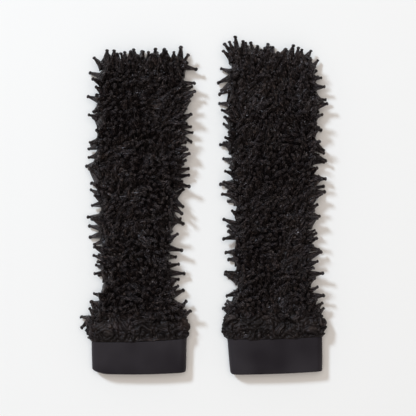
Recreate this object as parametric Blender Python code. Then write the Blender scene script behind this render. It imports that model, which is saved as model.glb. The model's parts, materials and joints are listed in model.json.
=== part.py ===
"""Pair of arm warmers in spiked black jersey, each with a plain folded cuff, laid flat side by side.

Run with: blender --background --python part.py

Each arm warmer is two sewn pieces:
  SIDE_sleeve  a tube of jersey whose surface is drawn out into bound spikes, gathered at its cuff end
  SIDE_cuff    a band of plain jersey folded double, open at its mouth

A sleeve is one wall. Its outer face is a lattice of diamond cells, and every cell is drawn out into one spike.
Underneath, the spikes are pressed flat against the table. Real spikes stand about 9 mm apart; these stand wider.

Metres, +Z up. X runs across the pair, Y from the cuffs to the open ends. The table is z = 0, and the origin
is under the middle of the pair.
"""

import math
import random
from collections import namedtuple

import bmesh
import bpy
from mathutils import Vector

MM = 0.001

# Driving sizes, in metres
SEAM_GAP = 0.33 * MM  # between the sleeve's gathered end and the cuff, along the cloth
SPIKE_LENGTH = 15.0 * MM  # from the cloth to the tip
END_SPIKE_EXTRA = 1.4  # how much further the last row at the open end reaches
SPIKE_LENGTH_SPREAD = 0.2  # share of the length that a spike may be longer or shorter
SPIKE_NECK_RADIUS = 2.1 * MM
SPIKE_NECK_SHARE = 0.5  # of the length, where the flared base has narrowed to the neck
SPIKE_LEAN = 0.42  # largest sideways part of a free spike's direction
SIDE_PULL = 0.35  # how much a spike near a side fold turns outwards
PRESSED_TIP_RADIUS = 2.2 * MM  # flat end of a spike that lies under the sleeve
PRESSED_DRIFT = 3.5 * MM  # how far a pressed tip slides sideways
LOWEST_TIP = 2.0 * MM  # a free spike's tip stays this far above the table
END_FAN = 24.0 * MM  # spikes this near the open end fan out past it
FAN_PULL = 1.6  # how much a spike at the open end turns along the sleeve
GATHER_DEPTH = 1.8 * MM  # how far the gathers ripple in and out
MOUTH_ROUND = 1.2 * MM  # how far the cuff's fold takes to round over
BOW_REACH = 56.0 * MM  # half the width over which a bow runs out

CELLS_ROUND = 12  # spike cells round a sleeve
LATTICE_ROWS = 28  # rows of lattice points along a sleeve; even
GATHER_POINTS = 36  # points round the gathers
GATHER_RINGS = (0.0, 0.14, 0.36, 0.62, 0.88)  # shares of the way from the seam to the first spikes
CELL_CROWDING = 0.25  # how much closer the cells stand at the two side folds
CUFF_POINTS = 24  # points round a cuff
CUFF_CROWDING = 0.6  # how much closer those points stand at the side folds

# The outline of each arm warmer as it lies, in millimetres: distance from the cuff's mouth, then the two edges
# of the cloth without its spikes, measured across from the middle of the cuff.
Outline = namedtuple("Outline", "along left right")
LEFT_OUTLINE = [
    Outline(0, -47.0, 54.6),
    Outline(3, -51.6, 56.0),
    Outline(7, -54.8, 56.4),
    Outline(13, -56.2, 56.6),
    Outline(39, -56.6, 57.2),
    Outline(46, -60.4, 58.4),
    Outline(53, -61.4, 58.2),
    Outline(62, -58.8, 55.4),
    Outline(70, -53.4, 49.6),
    Outline(80, -49.0, 44.6),
    Outline(105, -43.2, 40.6),
    Outline(141, -43.6, 39.6),
    Outline(207, -49.0, 47.2),
    Outline(261, -51.6, 52.4),
    Outline(303, -50.0, 57.2),
    Outline(345, -47.8, 56.4),
    Outline(362, -46.8, 55.8),
    Outline(373, -44.0, 53.6),
]
RIGHT_OUTLINE = [
    Outline(0, -51.0, 56.2),
    Outline(3, -53.4, 56.4),
    Outline(20, -55.6, 56.4),
    Outline(42, -57.8, 56.2),
    Outline(48, -61.2, 58.0),
    Outline(56, -62.2, 58.6),
    Outline(66, -59.4, 54.4),
    Outline(75, -53.6, 47.4),
    Outline(85, -49.0, 45.0),
    Outline(105, -49.2, 44.8),
    Outline(141, -48.4, 42.0),
    Outline(189, -48.6, 44.6),
    Outline(231, -54.4, 48.4),
    Outline(291, -56.8, 50.2),
    Outline(333, -57.6, 52.6),
    Outline(358, -56.8, 50.6),
    Outline(371, -55.4, 46.8),
    Outline(380, -53.2, 40.6),
]

# How far the cuff and the gathers run out of square, in millimetres: how much further along the cloth lies for
# every 100 mm across, and how far its middle bows towards the mouth.
Skew = namedtuple("Skew", "along rise bow")
LEFT_SKEW = [
    Skew(0, 1.1, 1.5),
    Skew(39, 3.6, 1.6),
    Skew(66, 3.0, 1.0),
    Skew(105, 0.0, 0.0),
    Skew(400, 0.0, 0.0),
]
RIGHT_SKEW = [
    Skew(0, 3.6, 0.9),
    Skew(42, 2.7, 1.4),
    Skew(70, 2.2, 1.0),
    Skew(110, 0.0, 0.0),
    Skew(330, 0.0, 0.0),
    Skew(380, -12.0, 0.0),
]

# The cross-section along either arm warmer, in millimetres: height of its middle above the table, half its
# height at the side folds, how much the upper layer domes, and the thickness of the wall.
Height = namedtuple("Height", "along lift half_height dome wall")
HEIGHTS = [
    Height(0, 8.2, 8.2, 1.2, 2.4),
    Height(13, 8.2, 8.2, 1.2, 2.4),
    Height(42, 9.0, 7.8, 1.6, 2.4),
    Height(53, 9.6, 8.4, 1.8, 4.6),
    Height(66, 10.0, 6.2, 2.2, 3.0),
    Height(82, 10.0, 4.5, 2.5, 2.0),
    Height(400, 10.0, 4.5, 2.5, 2.0),
]

Warmer = namedtuple("Warmer", "side outline skew place_x place_y cuff_length gather_end seed")
WARMERS = [
    Warmer("left", LEFT_OUTLINE, LEFT_SKEW, -79.4 * MM, -201.2 * MM, 39 * MM, 66 * MM, 11),
    Warmer("right", RIGHT_OUTLINE, RIGHT_SKEW, 83.4 * MM, -201.2 * MM, 42 * MM, 70 * MM, 23),
]


def read_between(rows, along, column):
    """The value of a column at a distance along, in metres, on a smooth line through the rows without overshoot."""
    at = [row.along * MM for row in rows]
    value = [getattr(row, column) * MM for row in rows]
    slope = [(value[k + 1] - value[k]) / (at[k + 1] - at[k]) for k in range(len(rows) - 1)]
    lean = [slope[0]]
    for before, after in zip(slope, slope[1:]):
        lean.append(2 * before * after / (before + after) if before * after > 0 else 0.0)
    lean.append(slope[-1])
    k = max(i for i in range(len(slope)) if i == 0 or at[i] <= along)
    width = at[k + 1] - at[k]
    t = min(max((along - at[k]) / width, 0.0), 1.0)
    return (
        value[k] * (1 + 2 * t) * (1 - t) ** 2
        + lean[k] * width * t * (1 - t) ** 2
        + value[k + 1] * t * t * (3 - 2 * t)
        - lean[k + 1] * width * t * t * (1 - t)
    )


def crowd_to_sides(turn, crowding):
    """Moves evenly spaced shares of the way round so that they stand closer at the side folds."""
    return turn - crowding * math.sin(4 * math.pi * turn) / (4 * math.pi)


def stadium_point(turn, half_width, half_height):
    """(x, z) at a share of the way round two flat layers joined by round side folds, anticlockwise from +X."""
    flat = 2 * (half_width - half_height)
    fold = math.pi * half_height
    run = (turn % 1.0) * 2 * (flat + fold)
    for start, sign in ((0.0, 1), (flat + fold, -1)):
        here = run - start
        if here <= fold / 2:
            angle = here / half_height
            return sign * (flat / 2 + half_height * math.cos(angle)), sign * half_height * math.sin(angle)
        if here <= fold / 2 + flat:
            return sign * (flat / 2 - (here - fold / 2)), sign * half_height
        if here <= fold + flat:
            angle = math.pi / 2 + (here - fold / 2 - flat) / half_height
            return sign * (-flat / 2 + half_height * math.cos(angle)), sign * half_height * math.sin(angle)
    return half_width, 0.0


def ring(warmer, along, count, shift=0.0, crowding=CELL_CROWDING):
    """Points round the outer face of the cloth at one distance along. shift is in cells."""
    left = read_between(warmer.outline, along, "left")
    right = read_between(warmer.outline, along, "right")
    lift = read_between(HEIGHTS, along, "lift")
    half_height = read_between(HEIGHTS, along, "half_height")
    dome = read_between(HEIGHTS, along, "dome")
    middle, half_width = (left + right) / 2, (right - left) / 2
    points = []
    for i in range(count):
        turn = crowd_to_sides((i + shift) / count, crowding)
        x, z = stadium_point(turn, half_width, half_height)
        rise = dome * (1 - (x / half_width) ** 2) if z > 0 else 0.0
        points.append(Vector((middle + x, along, lift + z + rise)))
    return points


def moved_in(points, depth):
    """The same ring moved inwards by a depth, keeping its edges parallel."""
    moved = []
    for i, here in enumerate(points):
        before = (here - points[i - 1]).normalized()
        after = (points[(i + 1) % len(points)] - here).normalized()
        inward_before = Vector((-before.z, 0, before.x))
        inward_after = Vector((-after.z, 0, after.x))
        inward = (inward_before + inward_after).normalized()
        moved.append(here + inward * depth / max(inward.dot(inward_before), 0.35))
    return moved


def wall_at(along):
    return read_between(HEIGHTS, along, "wall")


def skew(bm, warmer):
    """Moves the finished piece's points along by how far the cloth runs out of square where they stand."""
    for vert in bm.verts:
        rise = read_between(warmer.skew, vert.co.y, "rise") / (100 * MM)
        bow = read_between(warmer.skew, vert.co.y, "bow")
        vert.co.y += rise * vert.co.x - bow * (1 - (vert.co.x / BOW_REACH) ** 2)


def add_ring(bm, points):
    return [bm.verts.new(point) for point in points]


def join_rings(bm, first, second):
    """Quads from one ring to the next, facing outwards when the second is further along +Y."""
    count = len(first)
    for i in range(count):
        j = (i + 1) % count
        bm.faces.new((first[i], second[i], second[j], first[j]))


def join_unlike(bm, first, second):
    """Triangles between rings of different counts, facing outwards when the second is further along +Y."""
    i, j = 0, 0
    while i < len(first) or j < len(second):
        here, there = first[i % len(first)], second[j % len(second)]
        if j == len(second) or (i + 1) * len(second) <= (j + 1) * len(first):
            i += 1
            bm.faces.new((here, there, first[i % len(first)]))
        else:
            j += 1
            bm.faces.new((here, there, second[j % len(second)]))


def free_direction(normal, along, end, chance):
    """Which way a free spike points: off the cloth, leaning a little, and fanning out past the open end."""
    fan = min(max(1 - (end - along) / END_FAN, 0.0), 1.0)
    outward = normal.copy()
    if abs(normal.x) > 0.4:
        outward.x += math.copysign(SIDE_PULL, outward.x)
    lean = Vector([chance.uniform(-1, 1) for _ in range(3)]) * SPIKE_LEAN
    return (outward + lean + Vector((0, FAN_PULL * fan, 0))).normalized()


def add_spike(bm, cell, end, chance):
    """Draws one cell of the lattice out into a spike: free, or pressed flat if it lies underneath."""
    corners = [v.co for v in cell]
    centre = sum(corners, Vector()) / len(corners)
    normal = (corners[1] - corners[-1]).cross(corners[2] - corners[0]).normalized()
    length = SPIKE_LENGTH * (1 + SPIKE_LENGTH_SPREAD * chance.uniform(-1, 1))
    if normal.z < -0.8:
        drift = Vector((chance.uniform(-1, 1), chance.uniform(-1, 1), 0)) * PRESSED_DRIFT
        foot = Vector((centre.x, centre.y, 0)) + drift
        sides = [(corner - centre) * Vector((1, 1, 0)) for corner in corners]
        tip = [bm.verts.new(foot + side.normalized() * PRESSED_TIP_RADIUS) for side in sides]
        for i, corner in enumerate(cell):
            j = (i + 1) % len(cell)
            bm.faces.new((corner, cell[j], tip[j], tip[i]))
        bm.faces.new(tip)
        return
    if len(cell) == 3:
        length *= END_SPIKE_EXTRA
    way = free_direction(normal, centre.y, end, chance)
    lowest = (LOWEST_TIP - centre.z) / length
    if way.z < lowest:
        level = math.sqrt((1 - lowest**2) / (way.x**2 + way.y**2))
        way = Vector((way.x * level, way.y * level, lowest))
    middle = centre + way * length * SPIKE_NECK_SHARE
    sides = [(corner - centre) - way * (corner - centre).dot(way) for corner in corners]
    neck = [bm.verts.new(middle + side.normalized() * SPIKE_NECK_RADIUS) for side in sides]
    tip = bm.verts.new(centre + way * length)
    for i, corner in enumerate(cell):
        j = (i + 1) % len(cell)
        bm.faces.new((corner, cell[j], neck[j], neck[i]))
        bm.faces.new((neck[i], neck[j], tip))


def add_lattice(bm, rows, end, chance):
    """The spiked outer face: diamond cells over rows of points whose odd rows stand half a cell round."""
    count = len(rows[0])
    for k in range(len(rows) - 2):
        for i in range(count):
            odd = k % 2
            left, right = rows[k + 1][(i - 1 + odd) % count], rows[k + 1][(i + odd) % count]
            add_spike(bm, (rows[k][i], left, rows[k + 2][i], right), end, chance)
    for i in range(count):
        j = (i + 1) % count
        bm.faces.new((rows[0][i], rows[1][i], rows[0][j]))
        add_spike(bm, (rows[-1][i], rows[-1][j], rows[-2][i]), end, chance)


def gather_ring(warmer, along, flip, chance):
    """A ring that ripples in and out, where the cloth is gathered on to the cuff, and lies flat on the table."""
    points = ring(warmer, along, GATHER_POINTS)
    inner = moved_in(points, 1.0)
    rippled = []
    for i, (here, there) in enumerate(zip(points, inner)):
        depth = GATHER_DEPTH * (1 if (i + flip) % 2 else -1) * chance.uniform(0.4, 1)
        point = here + (there - here) * depth
        point.z = max(point.z, 0.0)
        rippled.append(point)
    return rippled


def sleeve_mesh(warmer):
    chance = random.Random(warmer.seed)
    end = warmer.outline[-1].along * MM
    start = warmer.gather_end
    step = (end - start) / LATTICE_ROWS
    seam = warmer.cuff_length + SEAM_GAP
    bm = bmesh.new()

    lattice = []
    for k in range(LATTICE_ROWS + 1):
        points = ring(warmer, start + k * step, CELLS_ROUND, shift=0.5 * (k % 2))
        lattice.append(add_ring(bm, points))
    add_lattice(bm, lattice, end, chance)

    gathers = []
    for k, share in enumerate(GATHER_RINGS):
        points = gather_ring(warmer, seam + share * (start - seam), k // 2, chance)
        gathers.append(add_ring(bm, points))
    for lower, upper in zip(gathers, gathers[1:]):
        join_rings(bm, lower, upper)
    join_unlike(bm, gathers[-1], lattice[0])

    inner = []
    for along in [seam, (seam + start) / 2] + [start + k * step for k in range(0, LATTICE_ROWS + 1, 2)]:
        points = moved_in(ring(warmer, along, CELLS_ROUND), wall_at(along))
        inner.append(add_ring(bm, points))
    for lower, upper in zip(inner, inner[1:]):
        join_rings(bm, upper, lower)
    join_rings(bm, lattice[-1], inner[-1])
    join_unlike(bm, inner[0], gathers[0])
    skew(bm, warmer)
    return finished(bm, f"{warmer.side}_sleeve")


def cuff_mesh(warmer):
    length = warmer.cuff_length
    wall = wall_at(0)
    bm = bmesh.new()
    alongs = (MOUTH_ROUND, 5 * MM, 13 * MM, 0.65 * length, length)
    outer = [ring(warmer, along, CUFF_POINTS, crowding=CUFF_CROWDING) for along in alongs]
    inner = [moved_in(points, wall) for points in reversed(outer)]
    fold = ring(warmer, 0, CUFF_POINTS, crowding=CUFF_CROWDING)
    rings = [moved_in(fold, 0.3 * wall), *outer, *inner, moved_in(fold, 0.7 * wall)]
    made = [add_ring(bm, points) for points in rings]
    for k, lower in enumerate(made):
        join_rings(bm, lower, made[(k + 1) % len(made)])
    skew(bm, warmer)
    return finished(bm, f"{warmer.side}_cuff")


def finished(bm, name):
    mesh = bpy.data.meshes.new(name)
    bm.to_mesh(mesh)
    bm.free()
    return mesh


def jersey(name, colour, roughness):
    material = bpy.data.materials.new(name)
    material.use_nodes = True
    shader = material.node_tree.nodes["Principled BSDF"]
    shader.inputs["Base Color"].default_value = (*colour, 1)
    shader.inputs["Roughness"].default_value = roughness
    shader.inputs["Metallic"].default_value = 0.0
    return material


def add_piece(mesh, parent, material, sharp_degrees):
    mesh.materials.append(material)
    mesh.shade_smooth()
    mesh.set_sharp_from_angle(angle=math.radians(sharp_degrees))
    piece = bpy.data.objects.new(mesh.name, mesh)
    bpy.context.scene.collection.objects.link(piece)
    piece.parent = parent
    return piece


def stand_on_origin(parents, pieces):
    """Moves the pair so that the origin is under its middle."""
    bpy.context.view_layer.update()
    corners = [piece.matrix_world @ Vector(corner) for piece in pieces for corner in piece.bound_box]
    for axis in (0, 1):
        middle = (min(c[axis] for c in corners) + max(c[axis] for c in corners)) / 2
        for parent in parents:
            parent.location[axis] -= middle


def main():
    for old in list(bpy.data.objects):
        bpy.data.objects.remove(old)
    spiked = jersey("spiked_jersey", (0.012, 0.011, 0.012), 0.62)
    plain = jersey("cuff_jersey", (0.025, 0.023, 0.026), 0.75)
    parents, pieces = [], []
    for warmer in WARMERS:
        parent = bpy.data.objects.new(f"{warmer.side}_arm_warmer", None)
        bpy.context.scene.collection.objects.link(parent)
        parent.location = (warmer.place_x, warmer.place_y, 0)
        parents.append(parent)
        pieces.append(add_piece(sleeve_mesh(warmer), parent, spiked, 40))
        pieces.append(add_piece(cuff_mesh(warmer), parent, plain, 50))
    stand_on_origin(parents, pieces)


main()
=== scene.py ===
# %% [markdown]
# # A pair of spiked arm warmers
#
# Each arm warmer is a tube of thin black jersey. Before it was sewn, the cloth was pinched up and bound
# with thread in about a thousand places, and heat set the pinches as soft spikes with a round knob at the
# tip. The lower end has no spikes. It is gathered on to a plain cuff, which is a band of the same jersey
# folded double. The pair lies flat on a table with its cuffs towards us, and all four ends are open.
#
# The script builds, for each arm warmer, the ground cloth, the gathers, the spikes and the cuff, and then
# the table, the light and the camera.

import json
import math
import random
from collections import namedtuple

import bmesh
import bpy
from mathutils import Matrix, Vector, noise

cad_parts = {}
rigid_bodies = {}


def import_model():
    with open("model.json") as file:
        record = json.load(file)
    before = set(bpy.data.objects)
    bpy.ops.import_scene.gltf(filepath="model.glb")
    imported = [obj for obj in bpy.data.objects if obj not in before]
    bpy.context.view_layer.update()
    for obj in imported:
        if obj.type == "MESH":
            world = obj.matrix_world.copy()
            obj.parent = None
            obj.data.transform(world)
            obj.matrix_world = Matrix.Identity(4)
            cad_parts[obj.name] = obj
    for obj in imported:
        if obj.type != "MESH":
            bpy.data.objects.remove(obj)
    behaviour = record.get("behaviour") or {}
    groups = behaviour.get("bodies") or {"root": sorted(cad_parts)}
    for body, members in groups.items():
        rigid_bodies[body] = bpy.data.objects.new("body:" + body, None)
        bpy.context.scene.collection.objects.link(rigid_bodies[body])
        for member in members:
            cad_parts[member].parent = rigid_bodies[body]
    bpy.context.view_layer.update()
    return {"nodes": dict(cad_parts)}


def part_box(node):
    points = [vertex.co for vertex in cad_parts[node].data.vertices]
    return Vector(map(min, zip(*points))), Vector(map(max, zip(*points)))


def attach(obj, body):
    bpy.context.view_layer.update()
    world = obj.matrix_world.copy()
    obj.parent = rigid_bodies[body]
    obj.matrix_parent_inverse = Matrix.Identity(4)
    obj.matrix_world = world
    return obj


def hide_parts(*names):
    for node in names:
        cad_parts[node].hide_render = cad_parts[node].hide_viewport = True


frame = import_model()
MM = 0.001
print("packed nodes:", sorted(frame["nodes"]))

# %% [markdown]
# ## The shape that everything follows
#
# A tube of cloth that lies flat is easy to describe: two edges seen from above, and a flat oval seen from
# its end. So the whole form comes from two short tables in millimetres, one of the edges and one of the
# heights, and one function that gives a ring of points anywhere along the tube. Everything else, from the
# cuffs to the spikes, asks that function where the cloth is, so no piece can float or sink in.

# %% The edges and the heights
Outline = namedtuple("Outline", "along left right")  # along from the cuff's mouth, across from its middle
LEFT_OUTLINE = [
    Outline(0, -44.0, 55.4),
    Outline(1.5, -49.4, 56.0),
    Outline(3, -53.4, 56.2),
    Outline(6, -55.9, 56.4),
    Outline(39, -56.6, 57.2),
    Outline(46, -60.4, 58.4),
    Outline(53, -61.4, 58.2),
    Outline(62, -58.8, 55.4),
    Outline(70, -53.4, 49.6),
    Outline(80, -49.0, 44.6),
    Outline(105, -43.2, 40.6),
    Outline(141, -43.6, 39.6),
    Outline(207, -49.0, 47.2),
    Outline(261, -51.6, 52.4),
    Outline(303, -50.0, 57.2),
    Outline(345, -47.8, 56.4),
    Outline(362, -46.8, 55.8),
    Outline(373, -44.0, 53.6),
]
RIGHT_OUTLINE = [
    Outline(0, -52.2, 56.4),
    Outline(3, -53.8, 56.4),
    Outline(20, -55.6, 56.4),
    Outline(42, -57.8, 56.2),
    Outline(48, -61.2, 58.0),
    Outline(56, -62.2, 58.6),
    Outline(66, -59.4, 54.4),
    Outline(75, -53.6, 47.4),
    Outline(85, -49.0, 45.0),
    Outline(105, -49.2, 44.8),
    Outline(141, -48.4, 42.0),
    Outline(189, -48.6, 44.6),
    Outline(231, -54.4, 48.4),
    Outline(291, -56.8, 50.2),
    Outline(333, -57.6, 52.6),
    Outline(358, -56.8, 50.6),
    Outline(371, -55.4, 46.8),
    Outline(380, -53.2, 40.6),
]

# How far the cuff and the gathers run out of square, in millimetres: how much further along the cloth lies
# for every 100 mm across, and how far its middle bows towards the mouth.
Skew = namedtuple("Skew", "along rise bow")
LEFT_SKEW = [
    Skew(0, 1.1, 1.5),
    Skew(39, 3.6, 1.6),
    Skew(66, 3.0, 1.0),
    Skew(105, 0.0, 0.0),
    Skew(400, 0.0, 0.0),
]
RIGHT_SKEW = [
    Skew(0, 3.6, 0.9),
    Skew(42, 2.7, 1.4),
    Skew(70, 2.2, 1.0),
    Skew(110, 0.0, 0.0),
    Skew(330, 0.0, 0.0),
    Skew(380, -12.0, 0.0),
]

# How high the middle of the tube lies, half the height of its side folds, and how far its top is domed.
Height = namedtuple("Height", "along lift half_height dome")
HEIGHTS = [
    Height(0, 8.2, 8.2, 1.2),
    Height(13, 8.2, 8.2, 1.2),
    Height(42, 9.0, 7.8, 1.6),
    Height(53, 9.6, 8.4, 1.8),
    Height(66, 10.0, 6.2, 2.2),
    Height(82, 10.0, 4.5, 2.5),
    Height(400, 10.0, 4.5, 2.5),
]
print("rows of the tables:", len(LEFT_OUTLINE), len(RIGHT_OUTLINE), len(HEIGHTS))

# %% [markdown]
# Both arm warmers are made by the same functions. One line for each names its tables and the few sizes that
# set it apart.

# %% The two arm warmers
# The spikes start at gather_end, and the folds of the gathers start lip past the seam. The spikes on the
# upper side share the lean in flow, across and along. Between the spikes the left and the right side fold
# are drawn in by the two values of drawn_in, in mm.
Warmer = namedtuple("Warmer", "side outline skew cuff_length gather_end lip seed flow drawn_in")
WARMERS = [
    Warmer("left", LEFT_OUTLINE, LEFT_SKEW, 39 * MM, 66 * MM, 1.2 * MM, 11, (0.2, 0.3), (1.0, 3.0)),
    Warmer("right", RIGHT_OUTLINE, RIGHT_SKEW, 42 * MM, 70 * MM, 0.3 * MM, 23, (0.2, 0.6), (2.4, 2.6)),
]
print("cloth without spikes, in mm:", {warmer.side: warmer.outline[-1].along for warmer in WARMERS})

# %% [markdown]
# ## Reading the tables
#
# Cloth bends smoothly from one row of a table to the next. A plain spline through the rows could swing
# past them and make a bulge where there is none. So the line here is a cubic one whose slope at each row
# is the harmonic mean of the slopes before and after, or level where those have different signs. Such a
# line never overshoots.

# %% Read the tables smoothly
BOW_REACH = 56 * MM  # half the width over which a bow runs out


def read_between(rows, along, column):
    """The value of a column at a distance along, both in metres."""
    at = [row.along * MM for row in rows]
    value = [getattr(row, column) * MM for row in rows]
    slope = [(value[k + 1] - value[k]) / (at[k + 1] - at[k]) for k in range(len(rows) - 1)]
    tangent = [slope[0]]
    for before, after in zip(slope, slope[1:]):
        tangent.append(2 * before * after / (before + after) if before * after > 0 else 0.0)
    tangent.append(slope[-1])
    k = max(i for i in range(len(slope)) if i == 0 or at[i] <= along)
    width = at[k + 1] - at[k]
    t = min(max((along - at[k]) / width, 0.0), 1.0)
    return (
        value[k] * (1 + 2 * t) * (1 - t) ** 2
        + tangent[k] * width * t * (1 - t) ** 2
        + value[k + 1] * t * t * (3 - 2 * t)
        - tangent[k + 1] * width * t * t * (1 - t)
    )


def skewed_by(warmer, across, along):
    """How far along the cloth is moved where it runs out of square, at a place across from its middle."""
    rise = read_between(warmer.skew, along, "rise") / (100 * MM)
    bow = read_between(warmer.skew, along, "bow")
    return rise * across - bow * (1 - (across / BOW_REACH) ** 2)


def warmer_origin(warmer):
    """Where the middle of the cuff's mouth stands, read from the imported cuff."""
    low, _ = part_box(f"{warmer.side}_cuff")
    widest = min(row.left for row in warmer.outline if row.along * MM <= warmer.cuff_length)
    mouth = warmer.outline[0]
    places = [mouth.left + (mouth.right - mouth.left) * k / 20 for k in range(21)]
    dip = min(skewed_by(warmer, place * MM, 0) for place in places)
    return Vector((low[0] - widest * MM, low[1] - dip, 0))


ORIGINS = {warmer.side: warmer_origin(warmer) for warmer in WARMERS}
print("cuff mouths at", {side: [round(v, 4) for v in place] for side, place in ORIGINS.items()})

# %% [markdown]
# ## One ring of the tube
#
# A tube that lies flat has two nearly level layers and a round fold at each side. Seen from its end that
# is a slot with round ends. The ring is walked at an even pace, so that the mesh has no long faces beside
# short ones. The upper layer is domed a little, because cloth doesn't lie dead flat. Every point also
# gives the way that faces out there, so that a skin can be moved outwards and a wall inwards.

# %% One ring of points round the tube
def oval_point(turn, half_width, half_height):
    """(x, z, outward x, outward z) at a share of the way round two flat layers with round side folds."""
    flat = 2 * (half_width - half_height)
    fold = math.pi * half_height
    run = (turn % 1.0) * 2 * (flat + fold)
    sign = 1
    if run > flat + fold:
        run = run - flat - fold
        sign = -1
    if fold / 2 < run < fold / 2 + flat:
        return sign * (flat / 2 - (run - fold / 2)), sign * half_height, 0.0, float(sign)
    angle = run / half_height if run <= fold / 2 else math.pi / 2 + (run - fold / 2 - flat) / half_height
    middle = sign * flat / 2 * (1 if run <= fold / 2 else -1)
    cos = sign * math.cos(angle)
    sin = sign * math.sin(angle)
    return middle + half_height * cos, half_height * sin, cos, sin


def cloth_ring(warmer, along, count, out=0.0, drawn=0.0):
    """A ring of points on the cloth, at one distance along, each moved outwards by out.

    out is a number, or a function of the point and its outward direction. drawn says how far the side folds
    are drawn in, from 0 to 1.
    """
    left = read_between(warmer.outline, along, "left") + drawn * warmer.drawn_in[0] * MM
    right = read_between(warmer.outline, along, "right") - drawn * warmer.drawn_in[1] * MM
    lift = read_between(HEIGHTS, along, "lift")
    half_height = read_between(HEIGHTS, along, "half_height")
    dome = read_between(HEIGHTS, along, "dome")
    middle = (left + right) / 2
    half_width = (right - left) / 2
    origin = ORIGINS[warmer.side]
    ring = []
    for i in range(count):
        x, z, nx, nz = oval_point(i / count, half_width, half_height)
        rise = dome * (1 - (x / half_width) ** 2) if z > 0 else 0.0
        normal = Vector((nx, 0, nz))
        point = origin + Vector((middle + x, along, lift + z + rise))
        point += normal * (out(point, normal) if callable(out) else out)
        point.y += skewed_by(warmer, point.x - origin.x, along)
        ring.append(point)
    return ring


for warmer in WARMERS:
    seam_ring = cloth_ring(warmer, warmer.cuff_length, 64)
    seam_width = max(point.x for point in seam_ring) - min(point.x for point in seam_ring)
    print(f"{warmer.side} seam: {seam_width / MM:.1f} mm wide")

# %% [markdown]
# ## Skins and walls
#
# A piece of cloth here is a stack of rings with faces between them. A wall, as real cloth is, goes up the
# outside and comes back down the inside, so its last ring meets its first and the mesh is closed. Each
# face gets its place on the cloth as a UV, in metres round and along, so that a knit runs with the cloth.

# %% Join rings into a mesh
SLEEVE_UV = 0.2  # metres of cloth round a sleeve, as its UVs have it
CUFF_UV = 0.23  # and round a cuff and its gathers


def mesh_from_rings(name, rings, closed, uv_size=None):
    """A mesh of rings, each joined to the next; closed also joins the last to the first.

    With a uv_size, its metres round the tube, it gets UVs.
    """
    count = len(rings[0])
    vertices = [point for ring in rings for point in ring]
    faces = []
    uvs = []
    for k in range(len(rings) if closed else len(rings) - 1):
        m = (k + 1) % len(rings)
        for i in range(count):
            j = (i + 1) % count
            faces.append((k * count + i, m * count + i, m * count + j, k * count + j))
            if uv_size:
                u0 = i / count * uv_size
                u1 = (i + 1) / count * uv_size
                v0 = rings[k][i].y
                v1 = rings[m][i].y
                uvs += [(u0, v0), (u0, v1), (u1, v1), (u1, v0)]
    mesh = bpy.data.meshes.new(name)
    mesh.from_pydata(vertices, [], faces)
    if uv_size:
        layer = mesh.uv_layers.new(name="cloth")
        layer.data.foreach_set("uv", [value for uv in uvs for value in uv])
    mesh.shade_smooth()
    mesh.update()
    return mesh


def add_piece(name, mesh, material):
    """Links a finished mesh as a piece of the object."""
    mesh.materials.append(material)
    piece = bpy.data.objects.new(name, mesh)
    bpy.context.scene.collection.objects.link(piece)
    print(f"{name}: {len(mesh.polygons)} faces")
    return piece


print("cloth laid out over", SLEEVE_UV, "m round a sleeve and", CUFF_UV, "m round a cuff")

# %% [markdown]
# ## Three finishes of one jersey
#
# The whole pair is one thin polyester jersey, dyed black, and it looks different in three places. On the
# spikes the binding has set it in hard little pleats that catch the lamp, and their colour carries painted
# glints and painted shade besides. In the gathers it is only crumpled, so its glints, real and painted, are
# softer. The cuff is smooth, so there the knit itself shows, under broad patches of painted light and shade.
# A fine knit also has a faint sheen. It is tinted warm here, because the lamp is a cool one. All three
# finishes are plain shader nodes, with their relief from noise and waves, and the same few helpers build
# them.

# %% Helpers for node trees
SHEEN_TINT = (1.0, 0.84, 0.92, 1)
GLINT_TINT = (1.0, 0.90, 0.94, 1)


def add_node(tree, kind, inputs=(), **settings):
    """Adds a node, sets it up, and fills its inputs with values or with other nodes' outputs."""
    node = tree.nodes.new(kind)
    for key, value in settings.items():
        setattr(node, key, value)
    for key, value in dict(inputs).items():
        if isinstance(value, bpy.types.NodeSocket):
            tree.links.new(value, node.inputs[key])
        else:
            node.inputs[key].default_value = value
    return node


def maths(tree, operation, *values):
    """The output of a Math node."""
    return add_node(tree, "ShaderNodeMath", dict(enumerate(values)), operation=operation).outputs[0]


def vector_maths(tree, operation, *values):
    """The output of a Vector Math node; the second value of SCALE is a number."""
    keys = ["Scale" if operation == "SCALE" and k == 1 else k for k in range(len(values))]
    return add_node(tree, "ShaderNodeVectorMath", dict(zip(keys, values)), operation=operation).outputs[0]


def part_of(tree, vector, axis):
    """One of a vector's three values: 0 across, 1 along, 2 up."""
    return add_node(tree, "ShaderNodeSeparateXYZ", {0: vector}).outputs[axis]


print("node helpers: a node, maths, vector maths and one value of a vector")


# %% Helpers for cloth finishes
def new_material(name, roughness, sheen, sheen_roughness, specular):
    """A Principled material, its tree and its shader."""
    material = bpy.data.materials.new(name)
    material.use_nodes = True
    tree = material.node_tree
    shader = tree.nodes["Principled BSDF"]
    shader.inputs["Roughness"].default_value = roughness
    shader.inputs["Sheen Weight"].default_value = sheen
    shader.inputs["Sheen Roughness"].default_value = sheen_roughness
    shader.inputs["Sheen Tint"].default_value = SHEEN_TINT
    shader.inputs["Specular Tint"].default_value = GLINT_TINT
    shader.inputs["Specular IOR Level"].default_value = specular
    return material, tree, shader


def colour_from(tree, factor, low, high, start, end):
    """A colour that goes from low to high as the factor goes from start to end."""
    ramp = add_node(tree, "ShaderNodeValToRGB", {"Fac": factor})
    ramp.color_ramp.elements[0].position = start
    ramp.color_ramp.elements[0].color = (*low, 1)
    ramp.color_ramp.elements[1].position = end
    ramp.color_ramp.elements[1].color = (*high, 1)
    return ramp.outputs["Color"]


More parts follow.
